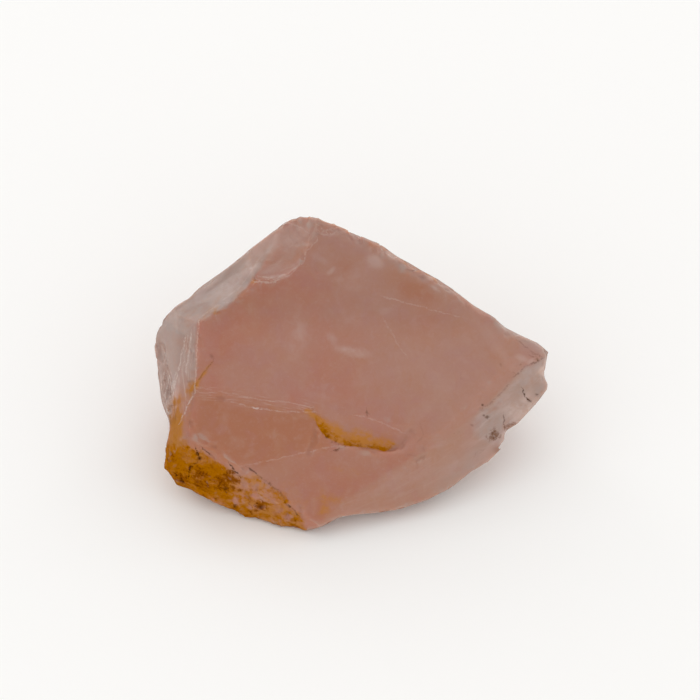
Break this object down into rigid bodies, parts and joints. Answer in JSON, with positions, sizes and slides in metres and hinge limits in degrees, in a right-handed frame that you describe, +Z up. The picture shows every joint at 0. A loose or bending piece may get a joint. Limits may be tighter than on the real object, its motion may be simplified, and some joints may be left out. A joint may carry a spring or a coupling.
{
  "type": "rose quartz chunk",
  "caption": "Rough palm-sized chunk of cloudy pink rose quartz with broken flat faces, chipped edges and a rusty stain, resting on a flat face.",
  "frame": {"origin": "middle of the outer box on the resting plane, Z = 0 being the flat resting face", "axes": "+X along the stone's longest way, from the blunt end to the thin tip; +Z up; the sloping main face looks towards -Y and up"},
  "size_m": [0.07, 0.0456, 0.0422],
  "materials": {
    "rose_quartz": "freshly broken glassy quartz, cloudy and slightly see-through, iron-stained along the lower left"
  },
  "bodies": {
    "root": {"rose_quartz_chunk": "rose_quartz"}
  },
  "joints": []
}
